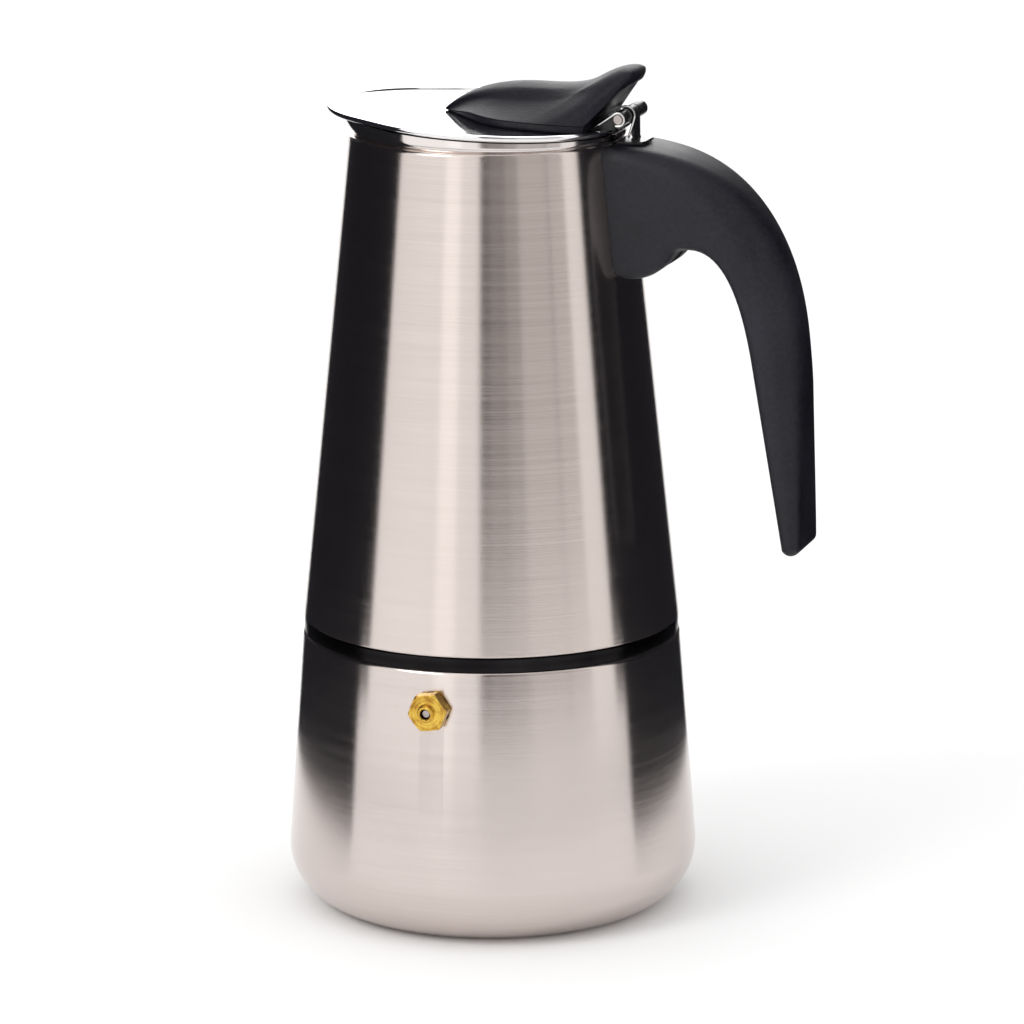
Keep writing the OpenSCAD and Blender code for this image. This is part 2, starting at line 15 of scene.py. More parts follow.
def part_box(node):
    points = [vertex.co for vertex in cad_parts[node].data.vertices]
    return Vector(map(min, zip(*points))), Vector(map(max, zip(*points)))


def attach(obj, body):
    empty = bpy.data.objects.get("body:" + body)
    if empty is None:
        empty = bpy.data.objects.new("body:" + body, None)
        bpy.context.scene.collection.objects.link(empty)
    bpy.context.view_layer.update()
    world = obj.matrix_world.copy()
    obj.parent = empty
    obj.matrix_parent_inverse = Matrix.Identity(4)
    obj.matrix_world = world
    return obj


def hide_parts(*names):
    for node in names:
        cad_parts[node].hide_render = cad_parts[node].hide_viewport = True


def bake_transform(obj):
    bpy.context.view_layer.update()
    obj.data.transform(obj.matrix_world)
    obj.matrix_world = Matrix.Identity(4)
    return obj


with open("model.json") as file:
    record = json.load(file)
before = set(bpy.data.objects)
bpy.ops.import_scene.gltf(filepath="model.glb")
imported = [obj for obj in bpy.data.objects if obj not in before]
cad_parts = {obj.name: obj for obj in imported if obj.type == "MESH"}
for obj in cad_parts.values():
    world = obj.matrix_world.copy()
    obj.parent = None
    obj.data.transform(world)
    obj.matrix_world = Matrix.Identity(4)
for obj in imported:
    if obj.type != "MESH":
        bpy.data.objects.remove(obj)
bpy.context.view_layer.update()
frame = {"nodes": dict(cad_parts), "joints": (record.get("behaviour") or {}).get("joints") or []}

MM = 0.001
SEGMENTS = 192


# ---------------------------------------------------------------- measures from the frame

def corners(node):
    """Lowest and highest corner of a CAD node at rest, in millimetres."""
    low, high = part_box(node)
    return low / MM, high / MM


def reach(node, z, band=0.3):
    """Largest distance from the pot's axis among a CAD node's points near a height."""
    points = [v.co / MM for v in frame["nodes"][node].data.vertices]
    return max(math.hypot(p.x, p.y) for p in points if abs(p.z - z) < band)


boiler_high = corners("boiler_shell")[1]
jug_low, jug_high = corners("jug_shell")
neck_low, neck_high = corners("boiler_neck")
pin_low, pin_high = corners("hinge_pin")
lid_joint = next(j for j in frame["joints"] if j["name"] == "lid_hinge")
PIN = Vector(lid_joint["pos_m"]) / MM
PIN_R = (pin_high.z - pin_low.z) / 2
KNUCKLE_R = 1.95
SHEET = 0.8
MOUTH_R = 31.6
LID_TILT = math.radians(2.8)
# Turns a shape that is drawn up +Z so that it points along -Y, where the valve is.
TOWARDS_VALVE = Matrix.Rotation(math.radians(90), 4, "X")


# ---------------------------------------------------------------- outlines

def curve(a, b, c, d, steps):
    """Points of a cubic curve between a and d, with control points b and c."""
    points = []
    for i in range(steps + 1):
        t = i / steps
        s = 1 - t
        weights = (s ** 3, 3 * s * s * t, 3 * s * t * t, t ** 3)
        points.append(tuple(sum(w * p[k] for w, p in zip(weights, (a, b, c, d))) for k in range(len(a))))
    return points


def arc(centre, r, start, end, steps):
    """Points of an arc about a centre, from one angle to another, in degrees."""
    angles = [math.radians(start + (end - start) * i / steps) for i in range(steps + 1)]
    return [(centre[0] + r * math.cos(a), centre[1] + r * math.sin(a)) for a in angles]


def rounded(outline, steps=4):
    """Closed outline with its corners rounded: each corner is (x, y, radius)."""
    points = []
    for i, (x, y, r) in enumerate(outline):
        here = Vector((x, y))
        before = Vector(outline[i - 1][:2]) - here
        after = Vector(outline[(i + 1) % len(outline)][:2]) - here
        if r <= 0:
            points.append((x, y))
            continue
        half = before.angle(after) / 2
        back = min(r / math.tan(half), 0.49 * before.length, 0.49 * after.length)
        start, end = here + before.normalized() * back, here + after.normalized() * back
        for k in range(steps + 1):
            t = k / steps
            p = start * (1 - t) ** 2 + here * 2 * t * (1 - t) + end * t * t
            points.append((p.x, p.y))
    return points


def part_way(points, share):
    """Point at a share of the way through a list of points in a plane."""
    place = share * (len(points) - 1)
    i = min(int(place), len(points) - 2)
    a, b = points[i], points[i + 1]
    t = place - i
    return a[0] + (b[0] - a[0]) * t, a[1] + (b[1] - a[1]) * t


def smooth(t):
    """Smooth step from 0 to 1."""
    t = min(1.0, max(0.0, t))
    return t * t * (3 - 2 * t)


# ---------------------------------------------------------------- solids

def loft(rings, closed=True, capped=True):
    """Skin over rings that hold the same number of points; a ring of one point is a tip."""
    bm = bmesh.new()
    made = [[bm.verts.new(p) for p in ring] for ring in rings]
    pairs = list(zip(made, made[1:] + made[:1])) if closed else list(zip(made, made[1:]))
    for low, high in pairs:
        count = max(len(low), len(high))
        for k in range(count):
            following = (k + 1) % count
            corner = [low[k % len(low)], low[following % len(low)],
                      high[following % len(high)], high[k % len(high)]]
            kept = list(dict.fromkeys(corner))
            if len(kept) > 2:
                bm.faces.new(kept)
    if not closed and capped:
        for ring in (made[0], made[-1]):
            if len(ring) > 2:
                bm.faces.new(ring)
    bmesh.ops.recalc_face_normals(bm, faces=bm.faces)
    return bm


def lathe(profile, segments=SEGMENTS):
    """Solid of revolution about Z; a profile's radius and height may depend on the angle."""
    rings = []
    for r, z in profile:
        ring = []
        for k in range(segments):
            a = 2 * math.pi * k / segments
            radius = r(a) if callable(r) else r
            height = z(a) if callable(z) else z
            ring.append((radius * math.cos(a), radius * math.sin(a), height))
        rings.append([(0, 0, ring[0][2])] if not callable(r) and r < 1e-6 else ring)
    closed = len(rings[0]) > 1 and len(rings[-1]) > 1
    return loft(rings, closed=closed)


def plate(outline, low, high, bevel=0.0):
    """Outline in X and Z, as thick as low to high along Y, with its two rims bevelled."""
    bm = bmesh.new()
    base = [bm.verts.new((x, low, z)) for x, z in outline]
    face = bm.faces.new(base)
    out = bmesh.ops.extrude_face_region(bm, geom=[face])
    moved = [g for g in out["geom"] if isinstance(g, bmesh.types.BMVert)]
    bmesh.ops.translate(bm, vec=(0, high - low, 0), verts=moved)
    if bevel:
        rims = [e for e in bm.edges if abs(e.verts[0].co.y - e.verts[1].co.y) < 1e-6]
        bmesh.ops.bevel(bm, geom=rims, offset=bevel, segments=2, affect="EDGES", clamp_overlap=True)
    bmesh.ops.recalc_face_normals(bm, faces=bm.faces)
    return bm


def swept(points, radius, sides=12):
    """Round wire along points, with domed ends."""
    path = [Vector(p) for p in points]
    rings = []
    side = None
    for i, p in enumerate(path):
        way = (path[min(i + 1, len(path) - 1)] - path[max(i - 1, 0)]).normalized()
        if side is None:
            side = way.orthogonal()
        side = (side - side.dot(way) * way).normalized()
        other = way.cross(side)
        turn = [2 * math.pi * k / sides for k in range(sides)]
        circle = [side * math.cos(t) + other * math.sin(t) for t in turn]
        domes = [(-0.8, 0.55), (-0.4, 0.88)] if i == 0 else [(0.4, 0.88), (0.8, 0.55)]
        end = i in (0, len(path) - 1)
        dome = [[p + radius * (c * width + way * rise) for c in circle]
                for rise, width in domes] if end else []
        flat = [[p + radius * c for c in circle]]
        rings += dome + flat if i == 0 else flat + dome
    return loft(rings, closed=False)


def smoothed(points, rounds):
    """The same path with its corners cut, keeping its ends."""
    for _ in range(rounds):
        softer = [points[0]]
        for a, b in zip(points, points[1:]):
            a, b = Vector(a), Vector(b)
            softer += [a * 0.75 + b * 0.25, a * 0.25 + b * 0.75]
        points = softer + [points[-1]]
    return points


def joined(*parts):
    """Several bmeshes as one."""
    whole = bmesh.new()
    for part in parts:
        mesh = bpy.data.meshes.new("part")
        part.to_mesh(mesh)
        part.free()
        whole.from_mesh(mesh)
        bpy.data.meshes.remove(mesh)
    return whole


def placed(bm, matrix):
    """The bmesh moved by a matrix."""
    bmesh.ops.transform(bm, matrix=matrix, verts=bm.verts)
    return bm


SHARP_DEG = 38


def shaded(mesh, sharp):
    """Smooth shading with the edges kept that turn by more than sharp, in degrees."""
    for polygon in mesh.polygons:
        polygon.use_smooth = True
    mesh.set_sharp_from_angle(angle=math.radians(sharp))


def shown(name, bm):
    """New object in the scene that holds the bmesh."""
    mesh = bpy.data.meshes.new(name)
    bm.to_mesh(mesh)
    bm.free()
    obj = bpy.data.objects.new(name, mesh)
    bpy.context.scene.collection.objects.link(obj)
    return obj


def piece(name, bm, body, look, nodes=(), sharp=SHARP_DEG):
    """A finished piece from a bmesh in millimetres. It rides on body and stands for nodes."""
    bmesh.ops.scale(bm, vec=(MM, MM, MM), verts=bm.verts)
    obj = shown(name, bm)
    obj.data.materials.append(look)
    shaded(obj.data, sharp)
    if body:
        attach(obj, body)
    if nodes:
        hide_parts(*nodes)
    return obj


def cut(obj, *cutters):
    """Takes cutters, which are bmeshes in millimetres, away from obj."""
    for bm in cutters:
        bmesh.ops.scale(bm, vec=(MM, MM, MM), verts=bm.verts)
        tool = shown("cutter", bm)
        modifier = obj.modifiers.new("cut", "BOOLEAN")
        modifier.operation = "DIFFERENCE"
        modifier.solver = "EXACT"
        modifier.object = tool
        bpy.context.view_layer.update()
        evaluated = obj.evaluated_get(bpy.context.evaluated_depsgraph_get())
        result = bpy.data.meshes.new_from_object(evaluated)
        obj.modifiers.clear()
        obj.data = result
        bpy.data.objects.remove(tool)
    shaded(obj.data, SHARP_DEG)


# ---------------------------------------------------------------- materials

class Look:
    """A node material with the few textures that every finish here is made of."""

    def __init__(self, name, **values):
        self.material = bpy.data.materials.new(name)
        self.material.use_nodes = True
        self.nodes = self.material.node_tree.nodes
        self.links = self.material.node_tree.links
        self.surface = self.nodes["Principled BSDF"]
        for socket, value in values.items():
            self.surface.inputs[socket.replace("_", " ")].default_value = value
        self.place = self.nodes.new("ShaderNodeTexCoord").outputs["Object"]

    def scaled(self, x, y, z):
        mapping = self.nodes.new("ShaderNodeMapping")
        mapping.inputs["Scale"].default_value = (x, y, z)
        self.links.new(self.place, mapping.inputs["Vector"])
        return mapping.outputs["Vector"]

    def noise(self, vector, scale, detail=3.0, roughness=0.55):
        node = self.nodes.new("ShaderNodeTexNoise")
        node.inputs["Scale"].default_value = scale
        node.inputs["Detail"].default_value = detail
        node.inputs["Roughness"].default_value = roughness
        self.links.new(vector, node.inputs["Vector"])
        return node.outputs["Fac"]

    def ramp(self, value, low, high, start=0.3, end=0.7):
        """Value stretched so that start to end becomes low to high."""
        node = self.nodes.new("ShaderNodeMapRange")
        for socket, number in (("From Min", start), ("From Max", end), ("To Min", low), ("To Max", high)):
            node.inputs[socket].default_value = number
        self.links.new(value, node.inputs["Value"])
        return node.outputs["Result"]

    def add(self, a, b, weight):
        """a plus a share of b."""
        node = self.nodes.new("ShaderNodeMath")
        node.operation = "MULTIPLY_ADD"
        self.links.new(b, node.inputs[0])
        node.inputs[1].default_value = weight
        self.links.new(a, node.inputs[2])
        return node.outputs[0]

    def colours(self, value, dark, light):
        node = self.nodes.new("ShaderNodeMix")
        node.data_type = "RGBA"
        node.inputs["A"].default_value = (*dark, 1)
        node.inputs["B"].default_value = (*light, 1)
        self.links.new(value, node.inputs["Factor"])
        self.links.new(node.outputs["Result"], self.surface.inputs["Base Color"])

    def rough(self, value):
        self.links.new(value, self.surface.inputs["Roughness"])

    def bump(self, value, strength, distance):
        node = self.nodes.new("ShaderNodeBump")
        node.inputs["Strength"].default_value = strength
        node.inputs["Distance"].default_value = distance
        self.links.new(value, node.inputs["Height"])
        self.links.new(node.outputs["Normal"], self.surface.inputs["Normal"])

    def turned(self):
        """Lines of polish that run round the pot's axis, for an anisotropic surface."""
        node = self.nodes.new("ShaderNodeTangent")
        node.direction_type = "RADIAL"
        node.axis = "Z"
        self.links.new(node.outputs["Tangent"], self.surface.inputs["Tangent"])


def brushed(name, dark, light, low, high, anisotropy, line=1.0):
    """Steel with fine brush lines that run round the pot."""
    look = Look(name, Metallic=1.0, Anisotropic=anisotropy, Anisotropic_Rotation=0.25)
    fine = look.noise(look.scaled(22 / line, 22 / line, 5200 / line), 1.0, 4.0, 0.6)
    broad = look.noise(look.scaled(14, 14, 620), 1.0, 3.0, 0.6)
    cloud = look.noise(look.scaled(1, 1, 1), 26.0, 2.0)
    streak = look.add(fine, broad, 0.5)
    look.colours(look.ramp(look.add(streak, cloud, 0.3), 0, 1, 0.55, 1.25), dark, light)
    look.rough(look.ramp(streak, low, high, 0.45, 1.05))
    look.bump(streak, 0.28, 0.00003)
    look.turned()
    return look.material


def polished(name, dark, light, low, high):
    """Mirror steel with faint wiping marks."""
    look = Look(name, Metallic=1.0)
    wipe = look.noise(look.scaled(30, 90, 60), 1.0, 4.0, 0.6)
    haze = look.noise(look.scaled(1, 1, 1), 38.0, 3.0)
    look.colours(look.ramp(haze, 0, 1), dark, light)
    look.rough(look.ramp(look.add(wipe, haze, 0.6), low, high, 0.5, 1.1))
    look.bump(wipe, 0.05, 0.00004)
    return look.material


def pressed(name, dark, light):
    """Plain pressed steel for the parts inside."""
    look = Look(name, Metallic=1.0)
    grain = look.noise(look.scaled(300, 300, 900), 1.0, 4.0, 0.6)
    cloud = look.noise(look.scaled(1, 1, 1), 60.0, 3.0)
    look.colours(look.ramp(cloud, 0, 1), dark, light)
    look.rough(look.ramp(look.add(grain, cloud, 0.7), 0.2, 0.42, 0.5, 1.2))
    look.bump(grain, 0.12, 0.00003)
    return look.material


def moulded(name, dark, light, low, high, grain_strength, shine):
    """Black nylon with the fine pebble of a spark-eroded mould."""
    look = Look(name, Specular_IOR_Level=shine)
    pebble = look.noise(look.scaled(1, 1, 1), 2300.0, 3.0, 0.65)
    fleck = look.noise(look.scaled(1, 1, 1), 900.0, 2.0, 0.5)
    rubbed = look.noise(look.scaled(1, 1, 1), 45.0, 3.0)
    look.colours(look.ramp(look.add(rubbed, fleck, 0.6), 0, 1, 0.55, 1.05), dark, light)
    look.rough(look.ramp(look.add(rubbed, pebble, 0.5), low, high, 0.5, 1.0))
    look.bump(look.add(pebble, fleck, 0.5), grain_strength, 0.00012)
    return look.material


def lacquered(name, dark, light):
    """Glossy black finish of the hinge's sheet."""
    look = Look(name, Specular_IOR_Level=0.3, Coat_Weight=0.12, Coat_Roughness=0.15)
    cloud = look.noise(look.scaled(1, 1, 1), 180.0, 3.0)
    look.colours(look.ramp(cloud, 0, 1), dark, light)
    look.rough(look.ramp(cloud, 0.16, 0.34))
    look.bump(cloud, 0.12, 0.00005)
    return look.material


def brassy(name, dark, light):
    """Turned brass with fine tool marks and a little tarnish."""
    look = Look(name, Metallic=1.0)
    marks = look.noise(look.scaled(900, 500, 900), 1.0, 4.0, 0.6)
    tarnish = look.noise(look.scaled(1, 1, 1), 420.0, 4.0, 0.6)
    look.colours(look.ramp(tarnish, 0, 1, 0.35, 0.62), dark, light)
    look.rough(look.ramp(look.add(marks, tarnish, 0.8), 0.14, 0.4, 0.6, 1.2))
    look.bump(marks, 0.18, 0.00004)
    return look.material


def rubbery(name, dark, light):
    """Cloudy white silicone."""
    look = Look(name, Subsurface_Weight=0.2, Subsurface_Scale=0.004, Specular_IOR_Level=0.4)
    cloud = look.noise(look.scaled(1, 1, 1), 150.0, 4.0)
    look.colours(look.ramp(cloud, 0, 1), dark, light)
    look.rough(look.ramp(cloud, 0.38, 0.6))
    look.bump(cloud, 0.15, 0.0001)
    return look.material


jug_steel = brushed("jug_steel", (0.59, 0.52, 0.485), (0.69, 0.61, 0.575), 0.13, 0.22, 0.75)
boiler_steel = brushed("boiler_steel", (0.59, 0.52, 0.49), (0.69, 0.615, 0.585), 0.13, 0.22, 0.75, 0.8)
# Lid steel coloured near white and brighter than the other steel: painted light that stands in for the
# lid's bright, washed-out look.
lid_steel_painted_light = polished("lid_steel_painted_light", (0.80, 0.79, 0.80), (0.88, 0.87, 0.88), 0.06, 0.12)
band_steel = polished("band_steel", (0.62, 0.57, 0.545), (0.72, 0.67, 0.645), 0.07, 0.16)
# Near-black steel of the seam ring: painted shade that stands in for the shadowed gap between jug and
# boiler.
seam_painted_shade = polished("seam_painted_shade", (0.010, 0.009, 0.010), (0.028, 0.026, 0.027), 0.16, 0.28)
inner_steel = pressed("inner_steel", (0.46, 0.45, 0.44), (0.60, 0.59, 0.58))
hinge_black = lacquered("hinge_black", (0.004, 0.004, 0.005), (0.012, 0.012, 0.014))
wire_steel = polished("wire_steel", (0.66, 0.65, 0.64), (0.80, 0.79, 0.78), 0.12, 0.24)
pin_steel = pressed("pin_steel", (0.40, 0.36, 0.34), (0.55, 0.50, 0.47))
yellow_brass = brassy("yellow_brass", (0.50, 0.27, 0.045), (0.80, 0.54, 0.10))
grip_nylon = moulded("grip_nylon", (0.003, 0.003, 0.007), (0.011, 0.011, 0.019), 0.38, 0.56, 0.9, 0.36)
knob_nylon = moulded("knob_nylon", (0.003, 0.003, 0.007), (0.010, 0.010, 0.018), 0.40, 0.58, 0.8, 0.27)
white_silicone = rubbery("white_silicone", (0.62, 0.60, 0.54), (0.78, 0.76, 0.71))

CAD_LOOKS = {
    inner_steel: ("funnel_cup", "funnel_stem", "funnel_strainer", "filter_plate", "jug_thread_ring",
                  "jug_floor", "coffee_column", "column_cap", "handle_bracket"),
    white_silicone: ("gasket", "valve_washers"),
    yellow_brass: ("valve_seat", "valve_nut"),
    pin_steel: ("valve_piston",),
    wire_steel: ("handle_screw", "knob_screws"),
}
for look, names in CAD_LOOKS.items():
    for name in names:
        node_mesh = frame["nodes"][name].data
        node_mesh.materials.clear()
        node_mesh.materials.append(look)


# ---------------------------------------------------------------- boiler

BOILER_TOP_R = reach("boiler_shell", boiler_high.z)
RING_TOP = jug_low.z - 0.3
NECK_BORE_R = 41.6
NECK_R = 43.6
THREAD_PITCH = 3.0


def make_boiler():
    foot_r = 15.0
    wall = 1.0
    edge_r = 1.1
    hole_r = 3.2
    dish_r, dish_rim_r, dish_depth = 28, 29.2, 0.35
    r, top = boiler_high.x, boiler_high.z
    lean = math.degrees(math.atan((r - BOILER_TOP_R) / (top - foot_r)))
    outside = [(0, dish_depth), (dish_r, dish_depth), (dish_rim_r, 0.0)]
    outside += arc((r - foot_r, foot_r), foot_r, -90, lean, 28)
    shoulder = arc((BOILER_TOP_R - edge_r, top - edge_r), edge_r, 8, 90, 8)
    inside = [(NECK_R, top), (NECK_R, top - wall), (BOILER_TOP_R - 1.6, top - wall),
              (BOILER_TOP_R - wall - 0.1, top - 2.2)]
    floor = arc((r - foot_r, foot_r), foot_r - wall, lean, -90, 20)
    shell = lathe(outside + shoulder + inside + floor + [(0, wall)])
    obj = piece("boiler_shell_skin", shell, "boiler", boiler_steel,
                ["boiler_base", "boiler_shell"], 50)
    valve_low, valve_high = corners("valve_body")
    centre_z = (valve_low.z + valve_high.z) / 2
    through = lathe([(0, 35), (hole_r, 35), (hole_r, 60), (0, 60)], 48)
    cut(obj, placed(through, Matrix.Translation((0, 0, centre_z)) @ TOWARDS_VALVE))


def thread_ridge(root, tip, start, turns, pitch):
    """Helical ridge that tapers away at both ends."""
    rings = []
    turn_steps = 64
    count = int(turn_steps * turns)
    for i in range(count + 1):
        a = 2 * math.pi * i / turn_steps
        z = start + pitch * i / turn_steps
        rise = smooth(min(i, count - i) / 6)
        crest = root + (tip - root) * max(0.05, rise)
        section = [(root, -0.7), (crest, -0.25), (crest, 0.25), (root, 0.7)]
        rings.append([(r * math.cos(a), r * math.sin(a), z + dz) for r, dz in section])
    return loft(rings, closed=False)


def make_neck():
    """Threaded tube, and the ring round it, coloured near-black as painted shade so that it shows as a dark
    line in the seam.
    """
    ring_r = neck_high.x
    buried_r = NECK_R - 0.3
    top = neck_high.z
    profile = rounded([(NECK_BORE_R, neck_low.z, 0), (NECK_R, neck_low.z, 0), (NECK_R, top, 0.4),
                       (NECK_BORE_R, top, 0.4)])
    ridge = thread_ridge(buried_r, NECK_R + 0.9, RING_TOP + 2, 1.5, THREAD_PITCH)
    piece("boiler_neck_tube", joined(lathe(profile), ridge), "boiler", band_steel,
          ["boiler_neck"])
    seam = rounded([(buried_r, boiler_high.z, 0), (ring_r, boiler_high.z, 0.12),
                    (ring_r, RING_TOP, 0.15), (buried_r, RING_TOP, 0)])
    # The ring's near-black colour is painted shade, not the steel's own tone.
    piece("boiler_seam_ring", lathe(seam), "boiler", seam_painted_shade)


def make_valve():
    """Valve body: a chamfered hexagon with two turned rings on its face, and the nose."""
    low, high = corners("valve_body")
    bore_r, shank_r, nose_r = 1.3, 3.2, 2.15
    face = 53.1
    back = face - 3.5
    groove = face - 0.09
    hex_r = 4.5
    edge_r = hex_r + 0.1
    turned_by = math.radians(8)

    def flat_r(a):
        """Radius of the hexagon in a direction."""
        from_corner = (a - turned_by + math.pi / 6) % (math.pi / 3) - math.pi / 6
        return hex_r / math.cos(math.pi / 6 - abs(from_corner))

    def rim_z(a):
        return face - max(0.0, flat_r(a) - edge_r) * 0.75

    def back_z(a):
        return back + max(0.0, flat_r(a) - edge_r) * 0.5

    tip = -low.y
    profile = [(bore_r, 44), (shank_r, 44), (shank_r, back), (edge_r, back), (flat_r, back_z),
               (flat_r, rim_z), (edge_r - 0.05, face),
               (4.2, face), (4.12, groove), (4.0, groove), (3.92, face),
               (3.2, face), (3.12, groove), (2.9, groove), (2.7, face),
               (2.35, face), (nose_r, face + 0.2), (nose_r, tip - 0.35), (1.95, tip - 0.08),
               (1.75, tip), (1.5, tip), (bore_r, tip - 0.2)]
    centre = Matrix.Translation((0, 0, (low.z + high.z) / 2))
    body = placed(lathe(profile, 120), centre @ TOWARDS_VALVE)
    piece("valve_body_turned", body, "boiler", yellow_brass, ["valve_body"], 30)


def make_valve_spring():
    low, high = corners("valve_spring")
    wire_r = 0.22
    coil_r = (high.x - low.x) / 2 - wire_r
    coils = 6
    steps = 24
    centre_z = (low.z + high.z) / 2
    start, end = -high.y + 2 * wire_r, -low.y - 2 * wire_r
    points = []
    for i in range(coils * steps + 1):
        a = 2 * math.pi * i / steps
        along = start + (end - start) * i / (coils * steps)
        points.append((coil_r * math.cos(a), -along, centre_z + coil_r * math.sin(a)))
    obj = piece("valve_spring_wire", swept(points, wire_r), None, wire_steel,
                ["valve_spring"])
    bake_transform(obj)


# ---------------------------------------------------------------- jug

def jug_at(z):
    """Outer radius of the jug's wall."""
    foot_r, top_r = 48.16, 35.2
    return foot_r - (z - jug_low.z) * (foot_r - top_r) / (jug_high.z - jug_low.z)


def make_jug():
    low, top = jug_low.z, jug_high.z
    shoulder = 1.2
    bend = top - shoulder
    lean = math.degrees(math.atan((jug_at(low) - jug_at(top)) / (top - low)))
    foot = [(jug_at(low) - SHEET, low + 0.15), (jug_at(low) - SHEET + 0.2, low),
            (jug_at(low) - 0.25, low), (jug_at(low) - 0.05, low + 0.15), (jug_at(low + 0.4), low + 0.4)]
    wall = [(jug_at(low + 0.5 + h), low + 0.5 + h) for h in range(0, int(bend - low), 6)]
    top_bend = arc((jug_at(bend) - shoulder, bend), shoulder, lean, 90, 8)
    inner_bend = arc((jug_at(bend) - shoulder, bend - 0.1), shoulder - SHEET + 0.1, 90, lean, 6)
    profile = foot + wall + top_bend + [(MOUTH_R, top), (MOUTH_R, top - SHEET)] + inner_bend
    piece("jug_shell_skin", lathe(profile), "jug", jug_steel, ["jug_shell"], 50)


def lid_to_pot():
    """Matrix of the closed lid's own frame, whose origin is on the hinge pin."""
    return Matrix.Translation(PIN) @ Matrix.Rotation(LID_TILT, 4, "Y")


def under_lid(x, drop):
    """Height of a plane drop below the hinge pin in the lid's frame, at a place along X."""
    along = (x - PIN.x + drop * math.sin(LID_TILT)) / math.cos(LID_TILT)
    return PIN.z - along * math.sin(LID_TILT) - drop * math.cos(LID_TILT)


def make_collar():
    """Flared mouth with its pouring beak, cut off parallel to the lid."""
    rim_r = 35.0
    sheet = 0.7
    tucked_in = 1.8
    rim_drop = 4.7
    beak_length = 3.4
    beak_half_width = math.radians(34)
    steps = 14
    count = 240

    def point(a, t, inset):
        """t runs up the wall from 0 at the shoulder to 1 at the rim."""
        off = (a - math.pi) % (2 * math.pi)
        off = min(off, 2 * math.pi - off)
        share = 1 - smooth(off / beak_half_width)
        flare = (rim_r - MOUTH_R) * (1 - (1 - min(1.0, t * 1.5)) ** 2)
        spout = share * beak_length * smooth((t - 0.25) / 0.75)
        r = MOUTH_R + flare + spout - inset
        x, y = r * math.cos(a), r * math.sin(a)
        top = under_lid(x, rim_drop)
        low = jug_high.z - tucked_in
        return (x, y, low + (top - low) * t)

    rings = []
    for inset, order in ((0.0, range(steps + 1)), (sheet, range(steps, -1, -1))):
        for k in order:
            t = k / steps
            rings.append([point(2 * math.pi * j / count, t, inset) for j in range(count)])
    piece("mouth_collar_flare", loft(rings), "jug", band_steel, ["mouth_collar"])


# ---------------------------------------------------------------- lid

# Heights in the lid's own frame, whose origin is on the hinge pin.
LID_TOP, LID_PANEL, LID_UNDER = -2.8, -3.6, -4.4
# Room on each side of the leaf in the slots that it passes through.
LEAF_ROOM = 0.2


def leaf_slot(lift, length, height):
    """Box round the leaf's sheet, from which the lid's slot and the knob's are cut."""
    slot = bmesh.new()
    bmesh.ops.create_cube(slot, size=1)
    half = corners("lid_leaf")[1].y + LEAF_ROOM
    return placed(slot, lid_to_pot() @ Matrix.Translation((-3, 0, LID_PANEL + lift))
                  @ Matrix.Diagonal((length, 2 * half, height, 1)))


def lid_outline(inset, samples=64):
    """Plan of the lid moved in: two circles joined by their tangents, in the lid's frame."""
    lid_r, nose_r, nose_x = 36.0, 30.0, 11.4
    centre, nose = Vector((0.3 - PIN.x, 0)), Vector((-PIN.x - nose_x, 0))
    lean = math.asin((lid_r - nose_r) / (centre.x - nose.x))
    turn = math.pi / 2 + lean
    points = []
    for i in range(2 * samples + 1):
        a = -turn + turn * i / samples
        points.append(centre + (lid_r - inset) * Vector((math.cos(a), math.sin(a))))
    straight = 6
    spread = 2 * math.pi - 2 * turn
    last, first = points[-1], points[0]
    nose_points = [nose + (nose_r - inset) * Vector((math.cos(turn + spread * i / samples),
                                                     math.sin(turn + spread * i / samples)))
                   for i in range(samples + 1)]
    join = [last.lerp(nose_points[0], k / straight) for k in range(1, straight)]
    back = [nose_points[-1].lerp(first, k / straight) for k in range(1, straight)]
    return points + join + nose_points + back


def make_lid():
    """Lid with its edge turned up to a narrow raised border round a flat panel."""
    hub = Vector((-PIN.x - 5, 0))
    under_inset, panel_inset = 1.2, 4.5
    edge = ((under_inset, LID_UNDER), (0.7, LID_UNDER + 0.08), (0.3, LID_UNDER + 0.35),
            (0.05, LID_UNDER + 0.8), (0.0, LID_TOP - 0.4), (0.1, LID_TOP - 0.15), (0.4, LID_TOP))
    border = ((1.2, LID_TOP + 0.02), (1.7, LID_TOP - 0.04), (2.0, LID_TOP - 0.25),
              (2.3, LID_PANEL + 0.3), (2.7, LID_PANEL + 0.08), (3.3, LID_PANEL + 0.02),
              (panel_inset, LID_PANEL))

    def ring(inset, z, shrink=1.0):
        return [(*(hub + (p - hub) * shrink), z) for p in lid_outline(inset)]

    rings = [[(*hub, LID_UNDER)]]
    rings += [ring(under_inset, LID_UNDER, shrink) for shrink in (0.4, 0.75)]
    rings += [ring(inset, z) for inset, z in edge + border]
    rings += [ring(panel_inset, LID_PANEL, shrink) for shrink in (0.85, 0.6, 0.3)]
    rings.append([(*hub, LID_PANEL)])
    # The lid's near-white steel is painted light.
    obj = piece("lid_plate_pressed", placed(loft(rings, closed=False, capped=False), lid_to_pot()), "lid",
                lid_steel_painted_light, ["lid_plate"], 40)
    cut(obj, leaf_slot(2, 20, 4))


